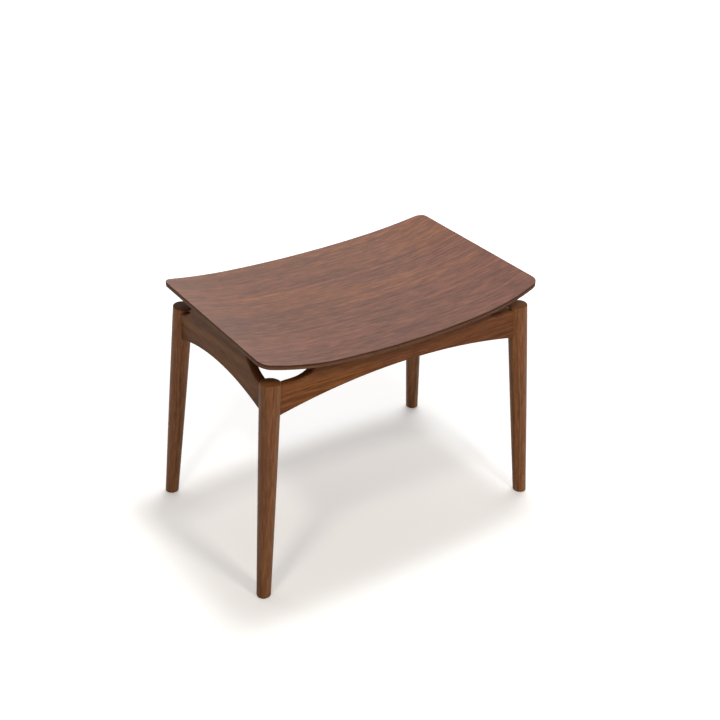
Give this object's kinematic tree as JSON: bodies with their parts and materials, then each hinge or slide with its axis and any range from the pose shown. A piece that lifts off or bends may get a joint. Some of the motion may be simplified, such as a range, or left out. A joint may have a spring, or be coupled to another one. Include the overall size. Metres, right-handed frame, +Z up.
{
  "type": "kneeling bench",
  "caption": "Low teak bench with a dished plywood seat, scooped and arched aprons, and round splayed legs.",
  "frame": {"origin": "on the floor, below the middle of the seat", "axes": "+X along the seat and its grain, +Y from the front long side to the back one, +Z up"},
  "size_m": [0.5762, 0.363, 0.4361],
  "materials": {
    "seat_veneer": "satin oiled teak veneer",
    "back_veneer": "matt stained veneer",
    "plywood": "stained and sealed plywood edge",
    "leg_teak": "satin oiled solid teak",
    "apron_teak": "satin oiled solid teak",
    "dowel_wood": "plain beech dowel",
    "screw_steel": "zinc plated"
  },
  "bodies": {
    "root": {"face_veneer": "seat_veneer", "core_ply_1": "plywood", "core_ply_2": "plywood", "core_ply_3": "plywood", "core_ply_4": "plywood", "core_ply_5": "plywood", "back_veneer": "back_veneer", "leg_front_left": "leg_teak", "leg_front_right": "leg_teak", "leg_back_left": "leg_teak", "leg_back_right": "leg_teak", "apron_front": "apron_teak", "apron_back": "apron_teak", "apron_left": "apron_teak", "apron_right": "apron_teak", "dowels_front_apron": "dowel_wood", "dowels_back_apron": "dowel_wood", "dowels_left_apron": "dowel_wood", "dowels_right_apron": "dowel_wood", "screws_long_aprons": "screw_steel", "screws_short_aprons": "screw_steel"}
  },
  "joints": []
}
